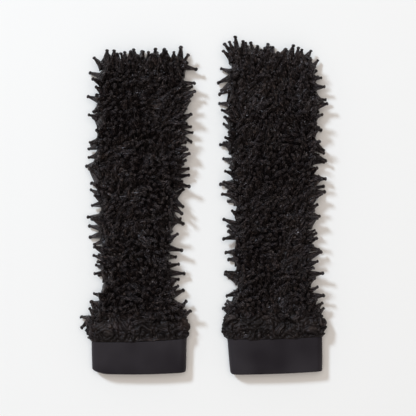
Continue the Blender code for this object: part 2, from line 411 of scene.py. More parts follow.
def finish_with(tree, shader, colour, relief, strength, depth):
    """Gives the shader its colour, and a relief of a depth in metres."""
    tree.links.new(colour, shader.inputs["Base Color"])
    bump = add_node(tree, "ShaderNodeBump", {"Height": relief, "Strength": strength, "Distance": depth})
    tree.links.new(bump.outputs["Normal"], shader.inputs["Normal"])


print("sheen tint", SHEEN_TINT[:3], "and glint tint", GLINT_TINT[:3])

# %% [markdown]
# ## The bound cloth
#
# Between the spikes little light arrives, so there the colour is painted at its darkest, as painted shade.
# Towards the tips it is painted lighter, and the pleats that the thread pressed into it run from the foot of
# each spike to its knob. So every point of the mesh carries an attribute called pleat: two values say which
# way round its spike the point lies, and the third how far it stands out, which also sets that painted
# shade.
# Noise over those values makes pleats that follow the spikes however they lean, and the place on the object
# is added, so that no two spikes are alike. Fine creases lie over all of it. What stands up in that relief
# is painted lighter, as painted glints of sharp folds, and the creases are painted darker, as painted shade.
# The gathers have the same finish with softer values.

# %% Finish of the bound cloth
PLEATS_FOR_PLACE = (60, 60, 60)  # noise cells for each metre
PLEATS_FOR_SPIKE = (3.2, 3.2, 2.0)  # noise cells across a spike, both ways, and along it
CREASES = {"Scale": 400.0, "Detail": 0.0, "Distortion": 0.4}
# The relief paints shade into the creases and glints on what stands up.
RELIEF_LOW = 0.86  # the relief that is fully dark
RELIEF_HIGH = 1.2  # and the relief that is fully light
RELIEF_POWER = 2.6  # how little of the relief is light
# Painted shade and painted light: the colour runs from a dark valley, where little light arrives, to a
# lighter tip.
SHADED_VALLEY_COLOUR = (0.0044, 0.0026, 0.0021)
LIT_TIP_COLOUR = (0.0430, 0.0345, 0.0330)
LIT_TIP_FROM = 0.6  # share of a spike's length
WARM_PATCH = (1.04, 1.0, 0.95)
COOL_PATCH = (0.97, 0.99, 1.08)


def pleated_relief(tree, place, pleat):
    """Pleats that follow the spikes, with fine creases over them."""
    by_place = vector_maths(tree, "MULTIPLY", place, PLEATS_FOR_PLACE)
    by_spike = vector_maths(tree, "MULTIPLY", pleat, PLEATS_FOR_SPIKE)
    there = vector_maths(tree, "ADD", by_place, by_spike)
    pleats = add_node(tree, "ShaderNodeTexNoise", {"Vector": there, "Scale": 1.0, "Detail": 1.0})
    creases = add_node(tree, "ShaderNodeTexNoise", {"Vector": place, **CREASES})
    wrinkles = maths(tree, "MULTIPLY_ADD", creases.outputs["Fac"], 0.3, 0.35)
    return maths(tree, "ADD", pleats.outputs["Fac"], wrinkles)


def make_bound_jersey(name, roughness, specular, depth, dark, light):
    """A finish painted dark at the foot of each spike, then multiplied by dark in the creases and by light
    where it glints: painted shade and painted highlights.
    """
    material, tree, shader = new_material(
        name, roughness=roughness, sheen=0.03, sheen_roughness=0.4, specular=specular
    )
    place = add_node(tree, "ShaderNodeTexCoord").outputs["Object"]
    pleat = add_node(tree, "ShaderNodeAttribute", attribute_name="pleat").outputs["Vector"]
    relief = pleated_relief(tree, place, pleat)
    # painted shade where the relief is low and painted highlights where it stands up
    raised = add_node(tree, "ShaderNodeMapRange", {0: relief, 1: RELIEF_LOW, 2: RELIEF_HIGH}).outputs[0]
    glint = maths(tree, "POWER", raised, RELIEF_POWER)
    stand = part_of(tree, pleat, 2)
    # painted shade at the foot of each spike and on the ground cloth, painted light towards the tip
    own = colour_from(tree, stand, SHADED_VALLEY_COLOUR, LIT_TIP_COLOUR, start=0.0, end=LIT_TIP_FROM)
    low = (dark, dark, 0.95 * dark)
    high = (light, 0.98 * light, 0.98 * light)
    shade = colour_from(tree, glint, low, high, start=0.0, end=1.0)
    patches = add_node(tree, "ShaderNodeTexNoise", {"Vector": place, "Scale": 75.0, "Detail": 1.0})
    hue = colour_from(tree, patches.outputs["Fac"], WARM_PATCH, COOL_PATCH, start=0.4, end=0.6)
    colour = vector_maths(tree, "MULTIPLY", own, vector_maths(tree, "MULTIPLY", shade, hue))
    finish_with(tree, shader, colour, relief, strength=1.0, depth=depth)
    return material


# dark is the painted shade in the creases, light the painted glints
SPIKED = make_bound_jersey(
    "spiked_jersey", roughness=0.27, specular=0.48, depth=6.0 * MM, dark=0.05, light=3.1
)
GATHERED = make_bound_jersey(
    "gathered_jersey", roughness=0.5, specular=0.22, depth=1.0 * MM, dark=0.2, light=1.5
)
print("finishes:", SPIKED.name, GATHERED.name)

# %% [markdown]
# ## The plain cloth of the cuffs
#
# Nothing is bound here, so the jersey's own loops show: straight columns with rows across them. Two waves
# on the cloth's UVs, multiplied, give both. Wide soft patches of lighter and darker black are painted light
# and painted shade: they stand for how the slight waves in which a doubled band always lies catch the lamp.
# They read Object coordinates, because they belong to how it lies and not to its knit.

# %% Finish of the cuffs
PATCH_PLACE = (2.7, -0.3, 1.6)  # where in the noise the pair lies, in metres
# painted shade and painted light of the band's slight waves
CUFF_PAINTED_SHADE = (0.0048, 0.0037, 0.0062)
CUFF_PAINTED_LIGHT = (0.0180, 0.0160, 0.0195)
KNIT_DEPTH = 0.00025  # metres


def make_cuff_jersey():
    """A finish with knitted columns and rows, under soft patches of painted light and shade."""
    material, tree, shader = new_material(
        "cuff_jersey", roughness=0.72, sheen=0.08, sheen_roughness=0.5, specular=0.25
    )
    cloth = add_node(tree, "ShaderNodeUVMap", uv_map="cloth").outputs["UV"]
    place = add_node(tree, "ShaderNodeTexCoord").outputs["Object"]
    there = vector_maths(tree, "ADD", place, PATCH_PLACE)
    patches = add_node(tree, "ShaderNodeTexNoise", {"Vector": there, "Scale": 14.0, "Detail": 2.0})
    # painted light and shade: broad patches, lighter and darker, for how the band's waves catch the lamp
    colour = colour_from(tree, patches.outputs["Fac"], CUFF_PAINTED_SHADE, CUFF_PAINTED_LIGHT, start=0.43, end=0.63)
    columns = add_node(tree, "ShaderNodeTexWave", {"Vector": cloth, "Scale": 480.0}, bands_direction="X")
    uneven = {"Vector": cloth, "Scale": 560.0, "Distortion": 1.2}
    rows = add_node(tree, "ShaderNodeTexWave", uneven, bands_direction="Y")
    knit = maths(tree, "MULTIPLY", columns.outputs["Fac"], rows.outputs["Fac"])
    finish_with(tree, shader, colour, knit, strength=0.35, depth=KNIT_DEPTH)
    return material


CUFF = make_cuff_jersey()
print("finish:", CUFF.name)

# %% [markdown]
# ## The ground cloth
#
# Between the spikes the jersey is drawn into low lumps, and at the side folds it is drawn in. The tube's
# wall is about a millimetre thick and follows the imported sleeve, with a round rim at the open end. Its
# outer skin is also what the spikes stand on, so the same rings are used again for them.

# %% Rings of the ground cloth
ROUND = 128  # points round the tube
ROW_STEP = 3.0 * MM
GROUND_INSET = 1.4 * MM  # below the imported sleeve's cells, whose points are the valleys
LUMP_HEIGHT = 0.9 * MM
LUMPS_PER_METRE = 90
LUMP_DIP = 0.3 * MM
DRAWN_REACH = 20 * MM  # along the cloth from the gathers to where the side folds are fully drawn in
SEAM_GAP = 0.3 * MM  # between the cuff and the sleeve


def ground_out(point, normal):
    """Low lumps, a centimetre or two across."""
    return -GROUND_INSET + LUMP_HEIGHT * noise.noise(point * LUMPS_PER_METRE) - LUMP_DIP


def drawn_share(warmer, along):
    """How far the side folds are drawn in between the spikes, from 0 at the gathers to 1."""
    return min(max((along - warmer.gather_end) / DRAWN_REACH, 0.0), 1.0)


def skin_ring(warmer, along, depth=0.0):
    """One ring of the ground cloth, at a depth below its outer skin."""
    share = drawn_share(warmer, along)
    return cloth_ring(warmer, along, ROUND, lambda point, normal: ground_out(point, normal) - depth, share)


def sleeve_alongs(warmer):
    """The distances along at which a sleeve has its rings, from the seam to the open end."""
    start = warmer.cuff_length + SEAM_GAP
    end = warmer.outline[-1].along * MM
    steps = round((end - start) / ROW_STEP)
    return [start + (end - start) * k / steps for k in range(steps + 1)]


print("rings along each sleeve:", [len(sleeve_alongs(warmer)) for warmer in WARMERS])

# %% Make the ground cloth
WALL = 1.2 * MM


def set_pleat(mesh, heights):
    """Stores how far each point stands out, as the third value of the attribute that the finish reads."""
    layer = mesh.attributes.new("pleat", "FLOAT_VECTOR", "POINT")
    layer.data.foreach_set("vector", [value for height in heights for value in (0.0, 0.0, height)])


def ground_cloth(warmer):
    """The tube's wall: up the outside, over the rim and down the inside."""
    alongs = sleeve_alongs(warmer)
    outer = [skin_ring(warmer, along) for along in alongs]
    rim = skin_ring(warmer, alongs[-1] + WALL / 2, WALL / 2)
    inner = [skin_ring(warmer, along, WALL) for along in reversed(alongs)]
    mesh = mesh_from_rings(f"{warmer.side}_ground", [*outer, rim, *inner], closed=True, uv_size=SLEEVE_UV)
    # painted shade: standing out 0, the whole ground cloth takes the dark valley colour
    set_pleat(mesh, [0.0] * len(mesh.vertices))
    return add_piece(f"{warmer.side}_ground", mesh, SPIKED)


grounds = {warmer.side: ground_cloth(warmer) for warmer in WARMERS}

# %% [markdown]
# ## The gathers
#
# Above each cuff the cloth has no spikes, but there is far more of it than the cuff takes in, so it stands
# up in a soft crumpled roll. The absolute value of smooth noise gives such folds: it has sharp creases
# where the noise crosses zero, and round rolls between them. A broad pattern and a finer one are
# multiplied, and one more noise bends them both, so that the folds wander.

# %% Height of the folds
FOLD_SIZE = 7.6 * MM
FOLD_BEND = 1.4  # how far the folds wander, in fold sizes
FOLD_SHARPNESS = 3.6  # how narrow the creases are
FOLD_CURVE = 0.6  # how round the rolls between them are
BROAD_SHARE = 0.45  # of the height, where the finer folds are at their lowest
FINE_SHARE = 0.55  # what they add to it


def rolls(point):
    """0 in the creases of smooth noise and 1 on the rolls between them."""
    return min(abs(noise.noise(point)) * FOLD_SHARPNESS, 1) ** FOLD_CURVE


def folds(point):
    """Height of the crumpled folds, from 0 to 1."""
    here = point / FOLD_SIZE
    bend = Vector((noise.noise(here * 0.5), noise.noise(here * 0.5 + Vector((7, 3, 1))), 0))
    here = here + bend * FOLD_BEND
    fine = rolls(here * 1.8 + Vector((3, 9, 4)))
    return rolls(here) * (BROAD_SHARE + FINE_SHARE * fine)


print("a fold is about", round(FOLD_SIZE / MM, 1), "mm across")

# %% Make the gathers
GATHER_ROUND = 300  # points round the roll
GATHER_STEP = 0.85 * MM
GATHER_OUT = 0.5 * MM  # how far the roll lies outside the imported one, and how much further in its middle
GATHER_WALL = 1.6 * MM
GATHER_OVERLAP = 8 * MM  # how far the roll runs on under the first spikes
SEAM_OUT = 0.35 * MM  # how far its edge at the seam stands above the cuff
FOLD_DEPTH = 6.0 * MM
FOLD_LEVEL = 0.62  # the height of the folds, from 0 to 1, that lies level with the roll
PUFF_END = 0.85  # share of the roll's length over which its middle stands out further
PUFF_CURVE = 0.6  # less than 1 makes it full towards its ends too
EDGE_TAPER = 0.08  # shares of the roll's length over which the folds start and end
TOP_TAPER = 0.12
SCALLOP = 2.4 * MM  # how unevenly the roll's edge lies along the cuff
SCALLOP_SIZE = 8.0 * MM
SCALLOP_RINGS = 5
# the folds' stand also sets their painted shade, darkest in the creases
FOLD_STAND = 0.42  # how far the folds count as standing out, where 1 is the tip of a spike
TABLE_CLEARANCE = 0.1 * MM  # no cloth comes nearer to the table than this


def gather_out(share):
    """How far the roll stands out at a share of the way from its edge to its end under the spikes."""
    puff = GATHER_OUT * math.sin(math.pi * min(share / PUFF_END, 1)) ** PUFF_CURVE
    taper = min(share / EDGE_TAPER, 1) * min((1 - share) / TOP_TAPER, 1)
    return lambda point, normal: GATHER_OUT + puff + FOLD_DEPTH * taper * (folds(point) - FOLD_LEVEL)


def gathers(warmer):
    """The roll's outer face, from its edge to its end, and a plain back that returns to the seam."""
    start = warmer.cuff_length + warmer.lip
    seam = warmer.cuff_length + SEAM_GAP
    end = warmer.gather_end + GATHER_OVERLAP
    steps = round((end - start) / GATHER_STEP)
    outer = []
    for k in range(steps + 1):
        ring = cloth_ring(warmer, start + (end - start) * k / steps, GATHER_ROUND, gather_out(k / steps))
        reach = max(1 - k / SCALLOP_RINGS, 0)
        for point in ring:
            point.y += reach * SCALLOP * noise.noise(Vector((point.x, 0, point.z)) / SCALLOP_SIZE)
            point.z = max(point.z, TABLE_CLEARANCE)
        outer.append(ring)
    back = [
        cloth_ring(warmer, end, GATHER_ROUND, -GATHER_WALL),
        cloth_ring(warmer, seam, GATHER_ROUND, -GATHER_WALL),
        cloth_ring(warmer, seam, GATHER_ROUND, SEAM_OUT),
    ]
    mesh = mesh_from_rings(f"{warmer.side}_gathers", outer + back, closed=True, uv_size=CUFF_UV)
    # the folds' heights paint shade into the creases, and the plain back takes the dark valley colour
    heights = [folds(point) for ring in outer for point in ring] + [0.0] * len(back) * GATHER_ROUND
    set_pleat(mesh, [FOLD_STAND * height for height in heights])
    return add_piece(f"{warmer.side}_gathers", mesh, GATHERED)


gather_rolls = {warmer.side: gathers(warmer) for warmer in WARMERS}

# %% [markdown]
# ## One spike
#
# A spike is a pinch of cloth. It leaves the ground in a wide skirt, narrows fast as the pleats close up,
# runs as a thin stalk to the binding thread, and ends in a small round knob. A few versions with other
# bends and pleats are enough, because each copy is turned, stretched and leaned on its own. There are two
# thousand copies, so each has only eight sides: every second corner stands out, and the finish adds the
# finer pleats.

# %% Shape of one spike
SPIKE_SIDES = 8
SPIKE_KINDS = 6
SPIKE_LENGTH = 15.0 * MM
LEAST_BEND = 0.5  # how far a spike's tip is bent over, in mm
MOST_BEND = 3.6
TWIST = 0.35  # most that it turns from foot to tip, in sides
PLEAT_REGULAR = 0.6  # shares of the pleats' depth: in and out by turns, and by chance
PLEAT_CHANCE = 0.5
FIRST_KIND_SEED = 400
Profile = namedtuple("Profile", "share radius pleat")  # of its length; radius in mm; depth of its pleats
SPIKE_PROFILE = [
    Profile(-0.06, 5.8, 0.16),
    Profile(0.10, 4.1, 0.24),
    Profile(0.28, 3.05, 0.28),
    Profile(0.54, 2.35, 0.26),
    Profile(0.80, 1.6, 0.08),
    Profile(0.90, 2.25, 0.05),
    Profile(0.97, 1.6, 0.0),
]


def spike_ring(bm, pleat, row, bend, lobes):
    """One ring of a spike, with the place of each point stored for the finish."""
    middle = Vector((bend * max(row.share, 0) ** 2, 0, row.share * SPIKE_LENGTH))
    ring = []
    for i in range(SPIKE_SIDES):
        angle = 2 * math.pi * (i + TWIST * row.share * lobes[0]) / SPIKE_SIDES
        fold = 1 if i % 2 else -1
        radius = row.radius * MM * (1 + row.pleat * (PLEAT_REGULAR * fold + PLEAT_CHANCE * lobes[i]))
        vert = bm.verts.new(middle + Vector((math.cos(angle), math.sin(angle), 0)) * radius)
        vert[pleat] = Vector((math.cos(angle), math.sin(angle), max(row.share, 0)))
        ring.append(vert)
    return ring


print("a spike is", SPIKE_LENGTH / MM, "mm long, in", len(SPIKE_PROFILE), "rings of", SPIKE_SIDES)


# %% Make the spikes to copy
def spike_mesh(kind):
    """One closed spike, its foot at the origin and its tip up."""
    chance = random.Random(FIRST_KIND_SEED + kind)
    bend = chance.uniform(LEAST_BEND, MOST_BEND) * MM
    lobes = [chance.uniform(-1, 1) for _ in range(SPIKE_SIDES)]
    bm = bmesh.new()
    pleat = bm.verts.layers.float_vector.new("pleat")
    rings = [spike_ring(bm, pleat, row, bend, lobes) for row in SPIKE_PROFILE]
    tip = bm.verts.new((bend, 0, SPIKE_LENGTH))
    tip[pleat] = Vector((0, 0, 1))
    for lower, upper in zip(rings, rings[1:]):
        for i in range(SPIKE_SIDES):
            j = (i + 1) % SPIKE_SIDES
            bm.faces.new((lower[i], lower[j], upper[j], upper[i]))
    for i in range(SPIKE_SIDES):
        bm.faces.new((rings[-1][i], rings[-1][(i + 1) % SPIKE_SIDES], tip))
    bm.faces.new(list(reversed(rings[0])))
    mesh = bpy.data.meshes.new(f"spike_{kind}")
    bm.to_mesh(mesh)
    bm.free()
    mesh.shade_smooth()
    return mesh


pattern_spikes = bpy.data.collections.new("spikes to copy")
for kind in range(SPIKE_KINDS):
    pattern_spikes.objects.link(bpy.data.objects.new(f"spike_{kind}", spike_mesh(kind)))
FACES_PER_SPIKE = len(pattern_spikes.objects[0].data.polygons)
print(SPIKE_KINDS, "kinds of spike,", FACES_PER_SPIKE, "faces each")

# %% [markdown]
# ## Spikes all over the tube
#
# A thousand hand-bound spikes are not in rows, but each needs some cloth of its own, so no two are very
# close. That is what a Poisson disk scatter gives. A node tree scatters points on the sleeve's skin, works
# out for each which way its spike leans and how long it is, and copies a spike there. Its sizes are named
# inputs, so that they can be tried in the modifier's panel. Every random value reads one seed, so a sleeve
# always grows the same spikes.

# %% Named inputs of the tree
Input = namedtuple("Input", "name kind value")
SPIKE_INPUTS = [
    Input("Skin", "NodeSocketGeometry", None),
    Input("Spacing", "NodeSocketFloat", 0.0053),  # least distance between two feet, in metres
    Input("First spikes", "NodeSocketFloat", 0.0),  # where they start along the sleeve
    Input("Open end", "NodeSocketFloat", 0.2),  # where the sleeve ends
    Input("Fan", "NodeSocketFloat", 1.5),  # how hard those at the open end are pulled along
    Input("Fan reach", "NodeSocketFloat", 0.026),  # over how many metres before the open end
    Input("Flow", "NodeSocketVector", (0.0, 0.0, 0.0)),  # a lean shared by all that face up
    Input("Drift", "NodeSocketFloat", 2.1),  # a lean shared by neighbours
    Input("Chance", "NodeSocketFloat", 0.40),  # a lean of a spike's own
    Input("Lowest tip", "NodeSocketFloat", 0.003),  # the height that no spike points below, in metres
    Input("Length", "NodeSocketFloat", SPIKE_LENGTH),
    Input("Side reach", "NodeSocketFloat", 0.13),  # how much longer those on the side folds are, as a share
    Input("Seed", "NodeSocketInt", 1),
]


def new_tree(name):
    """An empty tree with the named inputs, and the outputs that give them inside it."""
    tree = bpy.data.node_groups.new(name, "GeometryNodeTree")
    for row in SPIKE_INPUTS:
        socket = tree.interface.new_socket(name=row.name, in_out="INPUT", socket_type=row.kind)
        if row.value is not None:
            socket.default_value = row.value
    tree.interface.new_socket(name="Spikes", in_out="OUTPUT", socket_type="NodeSocketGeometry")
    return tree, add_node(tree, "NodeGroupInput").outputs


def random_between(tree, low, high, seed, kind="FLOAT"):
    """A random value of its own for each point."""
    node = add_node(tree, "FunctionNodeRandomValue", data_type=kind)
    first = {"FLOAT_VECTOR": 0, "FLOAT": 2, "INT": 4}[kind]
    node.inputs[first].default_value = low
    node.inputs[first + 1].default_value = high
    tree.links.new(seed, node.inputs["Seed"])
    return node.outputs[{"FLOAT_VECTOR": 0, "FLOAT": 1, "INT": 2}[kind]]


print("the tree's inputs:", ", ".join(row.name for row in SPIKE_INPUTS))

# %% [markdown]
# The feet of the spikes are scattered only above the gathers. The way that the skin faces at each foot is
# known only while it is scattered, so it is captured there and then.

# %% Scatter the feet
MOST_FEET = 60000.0  # for each square metre, before the spacing thins them out


def scattered_feet(tree, given, along):
    """Points on the skin, and which way the skin faces at each."""
    edge = {0: along, 1: given["First spikes"]}
    spiked = add_node(tree, "FunctionNodeCompare", edge, operation="GREATER_THAN").outputs[0]
    wanted = {
        "Mesh": given["Skin"],
        "Selection": spiked,
        "Distance Min": given["Spacing"],
        "Seed": given["Seed"],
    }
    scatter = add_node(tree, "GeometryNodeDistributePointsOnFaces", wanted, distribute_method="POISSON")
    scatter.inputs["Density Max"].default_value = MOST_FEET
    facing = add_node(tree, "GeometryNodeCaptureAttribute", {"Geometry": scatter.outputs["Points"]})
    facing.capture_items.new("VECTOR", "facing")
    tree.links.new(scatter.outputs["Normal"], facing.inputs[1])
    return facing.outputs["Geometry"], facing.outputs[1]


print("up to", MOST_FEET, "feet for each square metre")

# %% [markdown]
# Handled cloth lies in a pattern. A spike starts out square to the cloth. A slow drift then leans
# neighbours the same way, as fur does, and all that face up share a flow besides. Chance moves each a
# little on its own. At the open end, where no cloth goes on, a pull along the sleeve makes them fan out
# past the edge.

# %% Lean each spike
DRIFT_PER_METRE = 26.0


def lean_of(tree, given, place, along, outward):
    """Which way each spike points: outwards, with its drift, flow, chance and pull added."""
    slow = add_node(tree, "ShaderNodeTexNoise", {"Vector": place, "Scale": DRIFT_PER_METRE, "Detail": 1.0})
    drift = vector_maths(tree, "SUBTRACT", slow.outputs["Color"], (0.5, 0.5, 0.5))
    drift = vector_maths(tree, "SCALE", drift, given["Drift"])
    upward = add_node(tree, "ShaderNodeClamp", {0: part_of(tree, outward, 2)}).outputs[0]
    flow = vector_maths(tree, "SCALE", given["Flow"], upward)
    shared = vector_maths(tree, "ADD", drift, flow)

    chance = random_between(tree, (-1, -1, -1), (1, 1, 1), given["Seed"], "FLOAT_VECTOR")
    chance = vector_maths(tree, "SCALE", chance, given["Chance"])
    fan = maths(tree, "SUBTRACT", along, given["Open end"])
    fan = maths(tree, "ADD", maths(tree, "DIVIDE", fan, given["Fan reach"]), 1.0)
    fan = add_node(tree, "ShaderNodeClamp", {0: fan}).outputs[0]
    fan = maths(tree, "MULTIPLY", fan, given["Fan"])
    pull = add_node(tree, "ShaderNodeCombineXYZ", {1: fan}).outputs[0]
    own = vector_maths(tree, "ADD", chance, pull)

    way = vector_maths(tree, "ADD", outward, shared)
    way = vector_maths(tree, "ADD", way, own)
    return vector_maths(tree, "NORMALIZE", way)


print("the lean changes about", DRIFT_PER_METRE, "times in each metre")

# %% [markdown]
# Hand-bound spikes differ in length. At the side folds, where nothing presses on them, they are a little
# longer than elsewhere. Under the sleeve they can't stand at all, because the table is in the way. So each
# spike is turned towards level until its tip clears the table.

# %% Length of each spike, and room for it
SHORTEST = 0.70  # shares of the usual length
LONGEST = 1.24


def stretch_of(tree, given, outward):
    """How long each spike is, as a share of the usual length."""
    stretch = random_between(tree, SHORTEST, LONGEST, given["Seed"])
    across = part_of(tree, outward, 0)
    sideways = maths(tree, "MULTIPLY", across, across)
    more = maths(tree, "MULTIPLY", sideways, given["Side reach"])
    return maths(tree, "MULTIPLY", stretch, maths(tree, "ADD", more, 1.0))


def clear_of_table(tree, given, place, way, reach):
    """The same way, turned towards level where a spike of that reach would come too near the table."""
    height = part_of(tree, place, 2)
    lowest = maths(tree, "DIVIDE", maths(tree, "SUBTRACT", given["Lowest tip"], height), reach)
    parts = add_node(tree, "ShaderNodeSeparateXYZ", {0: way}).outputs
    level = add_node(tree, "ShaderNodeCombineXYZ", {0: parts[0], 1: parts[1]}).outputs[0]
    up = maths(tree, "MAXIMUM", parts[2], lowest)
    flat = maths(tree, "SQRT", maths(tree, "SUBTRACT", 1.0, maths(tree, "MULTIPLY", up, up)))
    level = vector_maths(tree, "SCALE", vector_maths(tree, "NORMALIZE", level), flat)
    return vector_maths(tree, "ADD", level, add_node(tree, "ShaderNodeCombineXYZ", {2: up}).outputs[0])


usual = SPIKE_LENGTH / MM
print(f"spikes from {SHORTEST * usual:.1f} to {LONGEST * usual:.1f} mm, and longer at the sides")

# %% [markdown]
# Last, the tree picks one of the spikes for each foot, turns it and spins it about its own length, so that
# the six kinds don't read as six. The copies are made real, because a copy that is only an instance has no
# mesh to keep.

# %% Copy a spike to each foot
THINNEST = 0.86  # shares of the usual width
THICKEST = 1.14


def turned_spikes(tree, given, way):
    """The turn of each copy: its length along its way, with a spin of its own."""
    turn = add_node(tree, "FunctionNodeAlignRotationToVector", {"Vector": way}, axis="Z")
    spin = random_between(tree, 0.0, 2 * math.pi, given["Seed"])
    spin = add_node(tree, "FunctionNodeAxisAngleToRotation", {"Angle": spin})
    spin.inputs["Axis"].default_value = (0, 0, 1)
    both = {"Rotation": turn.outputs[0], "Rotate By": spin.outputs[0]}
    return add_node(tree, "FunctionNodeRotateRotation", both, rotation_space="LOCAL").outputs[0]


def spike_tree():
    """The whole tree: scatter, lean, measure, copy, make real, finish."""
    tree, given = new_tree("bound spikes")
    place = add_node(tree, "GeometryNodeInputPosition").outputs[0]
    along = part_of(tree, place, 1)
    feet, outward = scattered_feet(tree, given, along)
    way = lean_of(tree, given, place, along, outward)
    stretch = stretch_of(tree, given, outward)
    reach = maths(tree, "MULTIPLY", stretch, given["Length"])
    way = clear_of_table(tree, given, place, way, reach)
    width = random_between(tree, THINNEST, THICKEST, given["Seed"])
    kinds = add_node(tree, "GeometryNodeCollectionInfo", {"Separate Children": True, "Reset Children": True})
    kinds.inputs["Collection"].default_value = pattern_spikes
    wanted = {
        "Points": feet,
        "Instance": kinds.outputs[0],
        "Pick Instance": True,
        "Instance Index": random_between(tree, 0, SPIKE_KINDS - 1, given["Seed"], "INT"),
        "Rotation": turned_spikes(tree, given, way),
        "Scale": add_node(tree, "ShaderNodeCombineXYZ", {0: width, 1: width, 2: stretch}).outputs[0],
    }
    copies = add_node(tree, "GeometryNodeInstanceOnPoints", wanted)
    solid = add_node(tree, "GeometryNodeRealizeInstances", {"Geometry": copies.outputs[0]})
    finish = add_node(tree, "GeometryNodeSetMaterial", {"Geometry": solid.outputs[0], "Material": SPIKED})
    out = add_node(tree, "NodeGroupOutput")
    tree.links.new(finish.outputs[0], out.inputs[0])
    return tree


SPIKE_TREE = spike_tree()
print("node tree:", len(SPIKE_TREE.nodes), "nodes")

# %% [markdown]
# ## Spikes that stand apart
#
# A few spikes stand clear of the rest, at the corners of the open ends, just above the gathers and down
# the left edge of the right sleeve, where nothing presses them flat. They give each warmer its own
# outline, so they are placed one by one. They are copies of the first spike, joined to the mesh of the
# others.

# %% Spikes that stand apart
Standout = namedtuple("Standout", "along across turn length")  # mm, mm from the middle, degrees from +X, mm
STANDOUTS = {
    "left": [
        Standout(64, -57, 218, 17),
        Standout(73, -51, 108, 15),
        Standout(73, 46, 45, 18),
        Standout(372, 49, 80, 18),
        Standout(366, 50, -18, 21),
    ],
    "right": [
        Standout(77, -50, 175, 14),
        Standout(95, -45, 190, 15),
        Standout(118, -45, 198, 13),
        Standout(144, -44, 178, 17),
        Standout(162, -45, 184, 19),
        Standout(377, -50, 122, 20),
        Standout(384, -46, 92, 18),
    ],
}
STANDOUT_HEIGHT = 10 * MM  # of the foot above the table, in the middle of the side fold
STANDOUT_WIDTH = 1.15  # share of the usual width
STANDOUT_RISE = 0.1  # how far it points up, where 1 is as far as it points sideways


def add_standouts(mesh, warmer):
    """Joins the spikes that stand apart to a sleeve's others."""
    origin = ORIGINS[warmer.side]
    bm = bmesh.new()
    bm.from_mesh(mesh)
    for row in STANDOUTS[warmer.side]:
        turn = math.radians(row.turn)
        way = Vector((math.cos(turn), math.sin(turn), STANDOUT_RISE))
        foot = Vector((origin.x + row.across * MM, origin.y + row.along * MM, STANDOUT_HEIGHT))
        size = Matrix.Diagonal((STANDOUT_WIDTH, STANDOUT_WIDTH, row.length * MM / SPIKE_LENGTH, 1))
        spike = pattern_spikes.objects[0].data.copy()
        spike.transform(Matrix.Translation(foot) @ way.to_track_quat("Z", "Y").to_matrix().to_4x4() @ size)
        bm.from_mesh(spike)
    for face in bm.faces:
        face.material_index = mesh.polygons[0].material_index
    bm.to_mesh(mesh)
    bm.free()


print("spikes that stand apart:", {side: len(rows) for side, rows in STANDOUTS.items()})

# %% [markdown]
# ## Growing the spikes
#
# The tree is a modifier on the sleeve's outer skin. Its inputs are set by their identifiers before the
# object is first worked out. What comes out is kept as a plain mesh, and the modifier goes, so that each
# sleeve's spikes are one piece.

# %% Grow the spikes on each sleeve
HEAD_START = 2 * MM  # how far before gather_end the first spikes may stand


def settle_inputs(modifier, values):
    """Sets a modifier's inputs by their identifiers."""
    sockets = {item.name: item.identifier for item in modifier.node_group.interface.items_tree}
    for name, value in values.items():
        modifier[sockets[name]] = value


def grow_spikes(warmer):
    """All the spikes of one sleeve, as one piece."""
    origin = ORIGINS[warmer.side]
    rings = [skin_ring(warmer, along) for along in sleeve_alongs(warmer)]
    skin = mesh_from_rings(f"{warmer.side}_skin", rings, closed=False)
    host = bpy.data.objects.new(f"{warmer.side}_spikes", skin)
    bpy.context.scene.collection.objects.link(host)
    modifier = host.modifiers.new("bound spikes", "NODES")
    modifier.node_group = SPIKE_TREE
    values = {
        "Seed": warmer.seed,
        "First spikes": origin.y + warmer.gather_end - HEAD_START,
        "Open end": origin.y + warmer.outline[-1].along * MM,
        "Flow": (*warmer.flow, 0.0),
    }
    settle_inputs(modifier, values)
    bpy.context.view_layer.update()
    evaluated = host.evaluated_get(bpy.context.evaluated_depsgraph_get())
    mesh = bpy.data.meshes.new_from_object(evaluated)
    host.modifiers.clear()
    add_standouts(mesh, warmer)
    for vertex in mesh.vertices:
        vertex.co.z = max(vertex.co.z, TABLE_CLEARANCE)
    mesh.name = f"{warmer.side}_spikes"
    host.data = mesh
    print(f"{host.name}: {len(mesh.polygons)} faces, {len(mesh.polygons) // FACES_PER_SPIKE} spikes")
    return host


spikes = {warmer.side: grow_spikes(warmer) for warmer in WARMERS}

# %% [markdown]
# ## The cuffs
#
# A cuff is one band folded double, so its mouth is a soft fold and its wall is two layers. It lies flat
# and takes the light evenly. Two small things stop it from looking like card: the cloth is a little
# uneven, and it puckers where it meets the gathers. It is made as the sleeve is, with a half round of
# rings at the mouth.

# %% Rings of a cuff
CUFF_POINTS = 256
UNEVEN = 0.35 * MM
UNEVEN_PER_METRE = 38
PUCKER = 0.35 * MM
PUCKER_SIZE = 3.6 * MM
PUCKER_REACH = 9 * MM  # from the seam
CUFF_INSET = 0.15 * MM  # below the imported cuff
CUFF_BULGE = 0.3 * MM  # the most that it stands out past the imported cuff
UNDERSIDE = -0.5  # where the cloth faces down more than this, it is pressed flat by the table


def cuff_ring(warmer, along, depth=0.0):
    """One ring of the band, at a depth below its outer face."""
    seam = ORIGINS[warmer.side].y + warmer.cuff_length

    def out(point, normal):
        near = max(0.0, 1 - (seam - point.y) / PUCKER_REACH)
        uneven = UNEVEN * noise.noise(point * UNEVEN_PER_METRE)
        ripple = PUCKER * near**1.5 * noise.noise(Vector((point.x, 0, point.z)) / PUCKER_SIZE)
        surface = min(uneven + ripple - CUFF_INSET, CUFF_BULGE) if normal.z > UNDERSIDE else 0.0
        return surface - depth

    return cloth_ring(warmer, along, CUFF_POINTS, out)


print("points round a cuff:", CUFF_POINTS)

# %% Make the cuffs
CUFF_STEPS = 36
CUFF_WALL = 2.4 * MM
MOUTH_STEPS = 6
MOUTH_ROUND = 1.2 * MM  # radius of the fold


